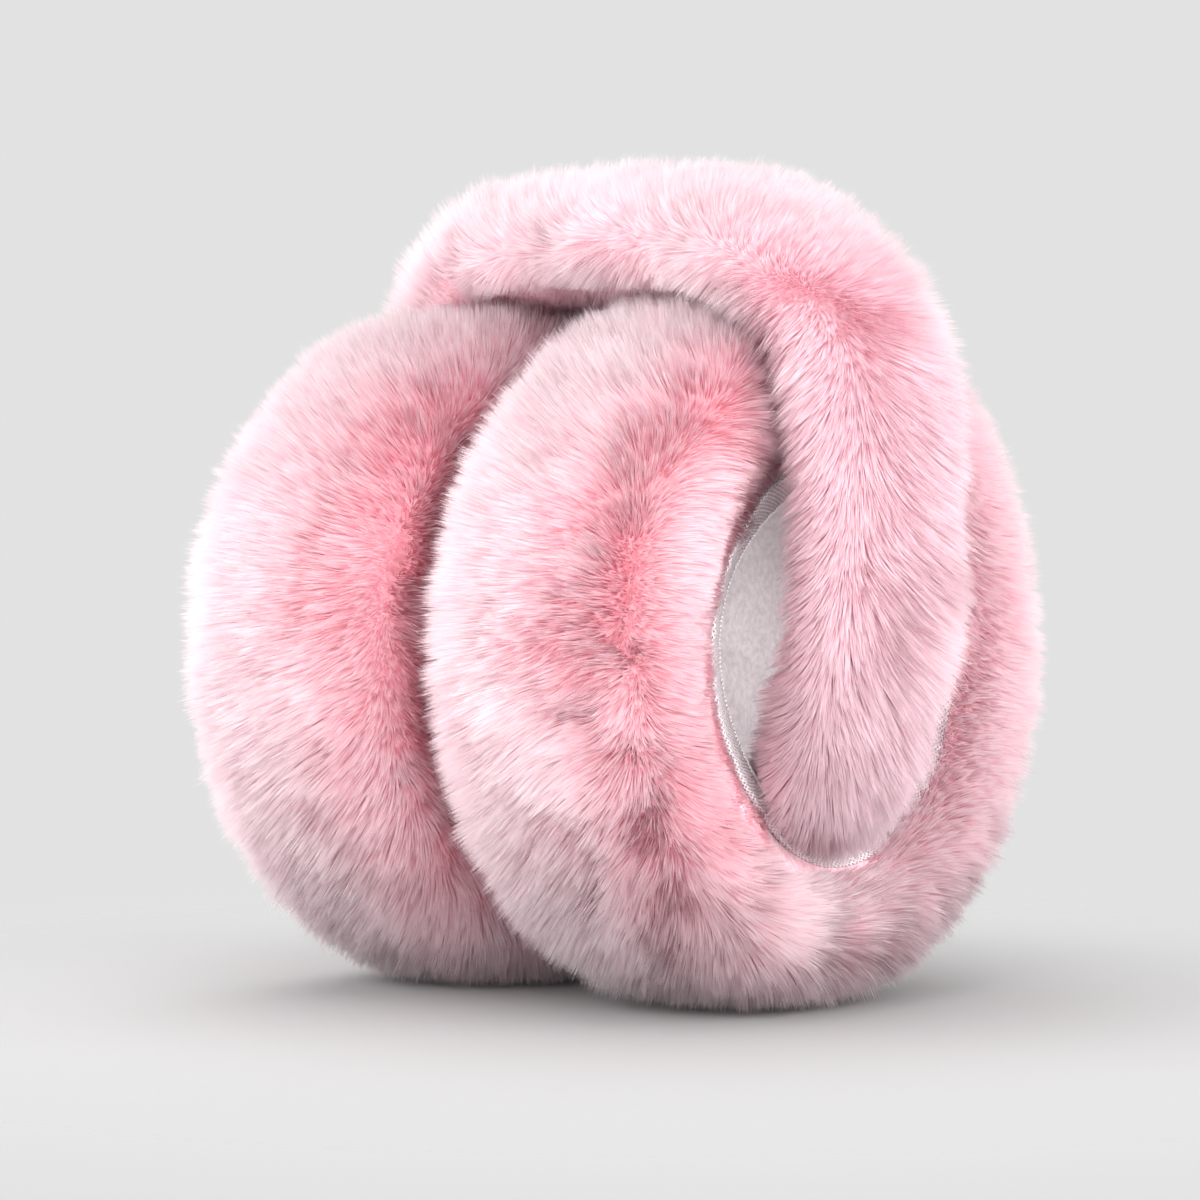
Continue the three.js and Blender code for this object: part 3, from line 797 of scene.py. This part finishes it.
class EARMUFFS_OT_cup_pile(bpy.types.Operator):
    """Grow the fur of both cups."""

    bl_idname = "earmuffs.cup_pile"
    bl_label = "Cup Pile"

    def execute(self, context):
        scene = context.scene
        pile = scene.earmuff_pile
        sizes = scene.earmuff_sizes
        material = fur_material(pile)
        band = Band(sizes, BAND_FRAMES)
        turns = even_turns(128)
        shares = np.linspace(0.015, 0.962, 96)
        thin = 1
        count = pile.cup_strands // thin
        for number, side in enumerate(CUPS):
            rng = np.random.default_rng(40 + number)
            cup = Cup(side, sizes)
            surface = Surface(cup.turned(resample(cup.fur_line(turns), shares), turns))
            share_of_cell = (shares[:-1, None] + shares[1:, None]) / 2
            starts, ends = (0.93, 0.87) if side == "left" else (0.24, 0.36)
            density = 0.3 + 0.7 * fade(share_of_cell, starts, ends)
            density = density + 0.25 * fade(share_of_cell, 0.6, 0.7) * (side == "right")
            row, column = surface.scatter(count, density * np.ones((1, len(turns))), rng)
            share = np.interp(row, np.arange(len(shares)), shares)
            roots = surface.at(surface.grid, row, column)
            outs = unit(surface.at(surface.outs, row, column))
            radial = (roots - cup.middle) * (0.0, 1.0, 1.0)
            radial = unit(radial)
            wander = 0.05 * drift(roots, 0.02, 54 + number)[:, 2]
            sense = np.tanh((PART_LINE[side] + wander - share) / 0.17)[:, None]
            loose = 1 - np.abs(sense)
            near_side = fade(-radial[:, 1], 0.2, 0.8)
            edge_start = 0.86 - 0.06 * near_side
            edge_end = 0.94 - 0.025 * near_side
            edge = fade((share - edge_start) / (edge_end - edge_start), 0.0, 1.0)
            inward = 0.75 - (0.5 + 0.5 * near_side) * edge
            comb = inward[:, None] * sense * radial + (0.0, 0.0, -0.26)
            comb = comb + 0.18 * drift(roots, 0.017, 50 + number)
            comb = comb + 0.45 * loose * drift(roots, 0.006, 52 + number)
            patchy = 0.16 * drift(roots, 0.006, 58)[:, 0]
            far_side = fade(radial[:, 1], -0.1, 0.5)
            short = 1 - (0.66 + 0.16 * near_side - 0.36 * far_side - patchy) * edge
            short = short * (1 - 0.16 * loose[:, 0])
            wild = 1 + 0.1 * (rng.random(count) > 0.9)
            lengths = pile.cup_strand * short * wild * (0.85 + 0.22 * rng.random(count))
            pulls = np.full(count, CUP_PULL)
            tips, shades = lean_strands(roots, outs, comb, lengths, pulls, CUP_BOW, 60 + 10 * number)
            low, high = CUPS[side]
            slack = MINGLE + 0.0014 * rng.random(count)
            if side == "left":
                tips[:, 0] = np.minimum(tips[:, 0], high.x + slack)
            else:
                tips[:, 0] = np.maximum(tips[:, 0], low.x - slack)
            kept, tips = clear_of_band(band, roots, tips, -0.001)
            shades = shades + 0.25 * rng.random(count)
            cool = 0.12 * fade(share, 0.78, 0.95) * (side == "right")
            # Painted shade: strands round this line, most on the near side, are deeper pink, as where one
            # looks down into the shaded pile.
            pile_shade = np.exp(-((share - PILE_SHADE_LINE - wander) / 0.095) ** 2) * (0.3 + 0.7 * near_side)
            # Painted light: the outer side of each cup, which faces the main lamp on the left, gets paler
            # strands.
            pale = fade(-share, -0.68, -0.52)
            # Painted shade: the lower side of each cup, away from the lamps above, gets slightly deeper
            # strands.
            base = 0.26 + 0.3 * pale - 0.48 * pile_shade - 0.06 * fade(-radial[:, 2], 0.1, 0.8)
            # Painted shade: on the near side, the fur that curves down into the ear opening is deeper
            # pink.
            base = base - 0.4 * fade(share, 0.76, 0.84) * near_side
            base = base + 0.07 * drift(roots, 0.016, 57 + number)[:, 1]
            order = np.argsort(share[kept], kind="stable")
            halves = np.array_split(np.flatnonzero(kept)[order], 2)
            for part, picks in zip(("outer", "ear"), halves):
                add_strands(
                    f"{side}_{part}_pile", outs[picks], roots[picks], tips[picks],
                    pile.strand_width * thin ** 0.5, base[picks], shades[picks], cool[picks],
                    material, rng,
                )
        return {"FINISHED"}


class EARMUFFS_OT_band(bpy.types.Operator):
    """Make the padded band and grow its fur."""

    bl_idname = "earmuffs.band"
    bl_label = "Fur Band"

    def execute(self, context):
        scene = context.scene
        pile = scene.earmuff_pile
        sizes = scene.earmuff_sizes
        band = Band(sizes, BAND_FRAMES)
        first = int(np.argmax(band.origin[:, 2] > band.right.middle[2] + 0.055))
        last = len(band.share)
        rings = held_in_opening(band.grid(first, last, even_turns(48)), band.right)
        start = rings[0].mean(axis=0)
        end = rings[-1].mean(axis=0)
        points, faces = ring_skin(rings, start, end)
        skin = mesh_piece("band_padding", points, faces, backing_material(pile))
        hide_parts("band_fur")
        self.grow(band, first, rings, pile)
        return {"FINISHED"}

    def grow(self, band, first, rings, pile):
        """Fur all over the band: dense over its top, in long loose tufts down its lower run and
        short on its underside."""
        rng = np.random.default_rng(45)
        thin = 1
        count = pile.band_strands // thin
        surface = Surface(rings)
        angles = even_turns(48)
        under = fade(-np.cos(angles + FULL_TURN / 96), 0.55, 0.85)[None, :]
        density = (1 - 0.55 * under) * np.ones((len(rings) - 1, 1))
        row, column = surface.scatter(count, density, rng)
        share = np.interp(row + first, np.arange(len(band.share)), band.share)
        angle = column / 48 * FULL_TURN
        roots = surface.at(surface.grid, row, column)
        outs = unit(surface.at(surface.outs, row, column))
        forward = unit(surface.at(surface.forward, row, column))
        low_run = fade(share, 0.42, 0.6)
        bare = fade(-np.cos(angle), 0.3, 0.75)
        flare = (0.7 * low_run * np.sin(angle))[:, None] * np.cross(outs, forward)
        comb = forward * (0.55 + 0.3 * low_run)[:, None] + flare + (0.0, 0.0, -0.15)
        comb = comb + (0.4 + 0.35 * low_run)[:, None] * drift(roots, 0.011, 71)
        span = pile.band_strand + (pile.tuft_strand - pile.band_strand) * low_run
        sewn = 1 - 0.6 * fade(share, 0.88, 1.0)
        flank = 1 - 0.28 * low_run * np.abs(np.sin(angle))
        lengths = span * flank * (1 - 0.7 * bare) * sewn * (0.75 + 0.4 * rng.random(count))
        pulls = 0.25 + 0.15 * low_run
        tips, shades = lean_strands(roots, outs, comb, lengths, pulls, BAND_BOW, 80)
        tips = held_in_opening(tips, band.right)
        shades = shades + 0.25 * rng.random(count)
        # Painted light: the top of the band's upper run, which faces the lamp above, gets paler strands.
        base = 0.2 + 0.35 * (1 - low_run) * (1 - bare) + 0.1 * bare
        add_strands(
            "band_pile", outs, roots, tips, pile.strand_width * thin ** 0.5, base,
            shades, 0.85 * low_run, bpy.data.materials["soft_pink_faux_fur"], rng,
        )


class EARMUFFS_OT_linings(bpy.types.Operator):
    """Line both ear pockets with fleece."""

    bl_idname = "earmuffs.linings"
    bl_label = "Fleece Linings"

    def execute(self, context):
        scene = context.scene
        sizes = scene.earmuff_sizes
        material = fleece_material(scene.earmuff_cloths)
        turns = even_turns(96)
        shares = np.linspace(0.1, 0.97, 30)
        for side in CUPS:
            cup = Cup(side, sizes)
            line = resample(cup.pocket_line(turns), shares)
            out = facing(line)
            folds = 0.0006 * np.sin(7 * turns + 9 * shares[:, None]) * np.sin(3 * turns - 1)
            folds = folds * fade(shares[:, None], 0.1, 0.3)
            hidden = line + 0.0003 * out
            seen = line + out * (0.0003 + sizes.lining + folds)[..., None]
            rings = cup.turned(np.concatenate([hidden[::-1], seen]), turns)
            rings[len(shares):] += 0.0003 * drift(rings[len(shares):], 0.004, 31)
            back = cup.middle + (cup.back_x + 0.0003, 0.0, 0.0)
            front = cup.middle + (cup.back_x + 0.0003 + sizes.lining, 0.0, 0.0)
            points, faces = ring_skin(rings, back, front)
            made = mesh_piece(f"{side}_fleece_lining", points, faces, material)
            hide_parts(f"{side}_cup_lining")
        return {"FINISHED"}


class EARMUFFS_OT_tapes(bpy.types.Operator):
    """Bind both ear openings with knitted tape and its stitched edge."""

    bl_idname = "earmuffs.tapes"
    bl_label = "Edge Tapes"

    def execute(self, context):
        scene = context.scene
        sizes = scene.earmuff_sizes
        knit = tape_material(scene.earmuff_cloths)
        thread = thread_material(scene.earmuff_cloths)
        for side in CUPS:
            cup = Cup(side, sizes)
            self.bind(cup, knit)
            self.stitch_edge(cup, thread)
        return {"FINISHED"}

    def middle_line(self, cup, turns):
        """The tape's middle line: its seat on the fur side, its fold and its inner edge."""
        sizes = cup.sizes
        line = resample(cup.fur_line(turns), np.linspace(TAPE_SEAT - 0.004, TAPE_SEAT + 0.004, 3))
        seat = line[1] + facing(line)[1] * (0.0003 + sizes.tape / 2)
        wander = 0.0007 * np.sin(3 * turns + 1) * np.cos(2 * turns)
        fold = cup.pair(turns, cup.edge_x + sizes.tape_overhang, cup.opening(turns) + wander)
        inner = np.stack([cup.edge_x - sizes.tape_leaf + 0 * turns, fold[:, 1] + sizes.tape], axis=-1)
        return seat, fold, inner

    def bind(self, cup, material):
        """The folded tape as a closed ring of half sections: its seen side out and its hidden
        side back."""
        turns = even_turns(220)
        seat, fold, inner = self.middle_line(cup, turns)
        before = fold + unit(seat - fold) * 0.0016
        after = fold + unit(inner - fold) * 0.0016
        line = np.concatenate([
            bezier([seat, before], 8)[:-1],
            bezier([before, fold, after], 9)[:-1],
            bezier([after, inner], 8),
        ])
        ripple = 0.00012 * np.sin(turns * 55)
        half = cup.sizes.tape / 2
        out = facing(line)
        seen = line + out * (half + ripple)[None, :, None]
        hidden = line - out * half
        rings = cup.turned(np.concatenate([seen, hidden[::-1]]), turns)
        rows, columns = rings.shape[:2]
        index = np.arange(rows * columns).reshape(rows, columns)
        down = np.roll(index, -1, axis=0)
        faces = np.stack([index, down, np.roll(down, -1, axis=1), np.roll(index, -1, axis=1)], axis=-1)
        made = mesh_piece(
            f"{cup.side}_knitted_tape", rings.reshape(-1, 3), [faces.reshape(-1, 4)], material
        )
        reach = FULL_TURN * cup.sizes.opening_radius / KNIT_PITCH
        round_way = np.arange(columns + 1) / columns * reach
        steps = np.linalg.norm(np.diff(rings, axis=0, append=rings[:1]), axis=2).mean(axis=1)
        over_way = np.append(0.0, np.cumsum(steps)) / KNIT_PITCH
        u = np.broadcast_to(round_way, (rows + 1, columns + 1))
        v = np.broadcast_to(over_way[:, None], (rows + 1, columns + 1))
        grid = np.stack([u, v], axis=-1)
        corners = np.stack([grid[:-1, :-1], grid[1:, :-1], grid[1:, 1:], grid[:-1, 1:]], axis=2)
        corner_map(made.data, "weave", corners)
        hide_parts(f"{cup.side}_edge_tape")

    def stitch_edge(self, cup, material):
        """The tape's overlocked edge: short stitches of thread side by side, each a round tube
        that wraps over the fold, with closed ends."""
        sizes = cup.sizes
        count = int(FULL_TURN * sizes.opening_radius * 1.08 / sizes.stitch_pitch)
        turns = even_turns(count)
        seat, fold, inner = self.middle_line(cup, turns)
        before = fold + unit(seat - fold) * 0.0012
        after = fold + unit(inner - fold) * 0.0012
        line = bezier([before, fold, after], 7)
        line = line + facing(line) * (sizes.tape / 2 + 0.00004)
        path = cup.turned(line, turns).transpose(1, 0, 2)
        path = path + 0.00008 * drift(path, 0.0009, 91)
        along = unit(np.gradient(path, axis=1))
        beside = unit(np.roll(path, -1, axis=0) - np.roll(path, 1, axis=0))
        outward = np.cross(along, beside)
        sides = 5
        spin = np.arange(sides) / sides * FULL_TURN
        tube = (
            path[:, :, None]
            + beside[:, :, None] * (np.cos(spin) * THREAD_RADIUS)[None, None, :, None]
            + outward[:, :, None] * (np.sin(spin) * THREAD_RADIUS)[None, None, :, None]
        )
        index = np.arange(tube[..., 0].size).reshape(tube.shape[:3])
        turn_next = np.roll(index, -1, axis=2)
        quads = np.stack([index[:, :-1], index[:, 1:], turn_next[:, 1:], turn_next[:, :-1]], axis=-1)
        caps = np.concatenate([index[:, 0], index[:, -1][:, ::-1]])
        return mesh_piece(
            f"{cup.side}_stitched_edge", tube.reshape(-1, 3), [quads.reshape(-1, 4), caps], material,
        )


class EARMUFFS_OT_stage(bpy.types.Operator):
    """Set up the camera, the soft lights, the surroundings and the floor."""

    bl_idname = "earmuffs.stage"
    bl_label = "Stage"

    def execute(self, context):
        scene = context.scene
        cloths = scene.earmuff_cloths
        target = Vector((0.002463, -0.020734, 0.0705))
        turn = math.radians(40)
        rise = math.radians(1)
        back = Vector((math.sin(turn) * math.cos(rise), -math.cos(turn) * math.cos(rise), math.sin(rise)))
        right = Vector((math.cos(turn), math.sin(turn), 0.0))
        up = Vector((0.0, 0.0, 1.0))
        data = bpy.data.cameras.new("camera")
        data.lens = 107.1
        data.sensor_width = 36.0
        data.sensor_fit = "HORIZONTAL"
        data.clip_start = 0.01
        data.clip_end = 20.0
        camera = bpy.data.objects.new("camera", data)
        camera.location = target + back * 0.62
        camera.rotation_euler = back.to_track_quat("Z", "Y").to_euler()
        scene.collection.objects.link(camera)
        scene.camera = camera
        self.light("key_light", target, target - right * 1.2 + back * 0.3 + up * 0.15, 1.6, 29.0)
        self.light("front_light", target, target - right * 0.1 + back * 1.3 + up * 0.02, 1.6, 28.0)
        self.light("fill_light", target, target + right * 1.1 + back * 0.6 + up * 0.08, 1.6, 30.0)
        self.light("top_light", target, target - right * 0.2 - back * 0.1 + up * 1.2, 1.6, 14.0)
        self.light("back_light", target, target - back * 1.2 + right * 0.3 + up * 0.6, 1.6, 8.0)
        world = bpy.data.worlds.new("pale_surroundings")
        world.use_nodes = True
        world.node_tree.nodes["Background"].inputs["Color"].default_value = cloths.backdrop
        world.node_tree.nodes["Background"].inputs["Strength"].default_value = 1.0
        scene.world = world
        scene.view_settings.view_transform = "Standard"
        self.floor(cloths)
        return {"FINISHED"}

    def light(self, name, target, place, size, power):
        """A large square lamp that faces the object."""
        data = bpy.data.lights.new(name, "AREA")
        data.size = size
        data.energy = power
        lamp = bpy.data.objects.new(name, data)
        lamp.location = place
        lamp.rotation_euler = (place - target).to_track_quat("Z", "Y").to_euler()
        bpy.context.scene.collection.objects.link(lamp)

    def floor(self, cloths):
        """A round floor of rings, closed in its middle."""
        turns = even_turns(96)
        radii = np.array([0.02, 0.08, 0.16, 0.3, 0.5, 0.8])
        flat = np.stack([np.cos(turns), np.sin(turns), 0 * turns], axis=-1)
        rings = radii[:, None, None] * flat
        points = np.concatenate([rings.reshape(-1, 3), [(0.0, 0.0, 0.0)]])
        index = np.arange(rings[..., 0].size).reshape(rings.shape[:2])
        right = np.roll(index, -1, axis=1)
        quads = closed_quads(index)
        fan = np.stack([np.full(len(turns), len(points) - 1), index[0], right[0]], axis=-1)
        mesh = bpy.data.meshes.new("floor")
        mesh.from_pydata(points.tolist(), [], quads.tolist() + fan.tolist())
        mesh.materials.append(floor_material(cloths))
        made = bpy.data.objects.new("floor", mesh)
        bpy.context.scene.collection.objects.link(made)


OPERATORS = (
    EARMUFFS_OT_padding,
    EARMUFFS_OT_cup_pile,
    EARMUFFS_OT_band,
    EARMUFFS_OT_linings,
    EARMUFFS_OT_tapes,
    EARMUFFS_OT_stage,
)


class EARMUFFS_PT_sidebar(bpy.types.Panel):
    """The earmuffs' pieces, sizes and colours."""

    bl_idname = "EARMUFFS_PT_sidebar"
    bl_label = "Fur Earmuffs"
    bl_space_type = "VIEW_3D"
    bl_region_type = "UI"
    bl_category = "Earmuffs"

    def draw(self, context):
        column = self.layout.column(align=True)
        for operator in OPERATORS:
            column.operator(operator.bl_idname)
        scene = context.scene
        for group in (scene.earmuff_sizes, scene.earmuff_pile, scene.earmuff_cloths):
            box = self.layout.box().column(align=True)
            for name in group.__annotations__:
                box.prop(group, name)


GROUPS = {
    "earmuff_sizes": EarmuffSizes,
    "earmuff_pile": EarmuffPile,
    "earmuff_cloths": EarmuffCloths,
}
CLASSES = (*GROUPS.values(), *OPERATORS, EARMUFFS_PT_sidebar)


def register():
    """Adds the classes and the scene's settings."""
    for kind in CLASSES:
        bpy.utils.register_class(kind)
    for name, kind in GROUPS.items():
        setattr(bpy.types.Scene, name, PointerProperty(type=kind))


def unregister():
    """Takes the settings and the classes out again."""
    for name in GROUPS:
        delattr(bpy.types.Scene, name)
    for kind in reversed(CLASSES):
        bpy.utils.unregister_class(kind)


def main():
    """Builds every piece in order."""
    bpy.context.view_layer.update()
    register()
    bpy.ops.earmuffs.padding()
    bpy.ops.earmuffs.cup_pile()
    bpy.ops.earmuffs.band()
    bpy.ops.earmuffs.linings()
    bpy.ops.earmuffs.tapes()
    bpy.ops.earmuffs.stage()


if __name__ == "__main__":
    main()
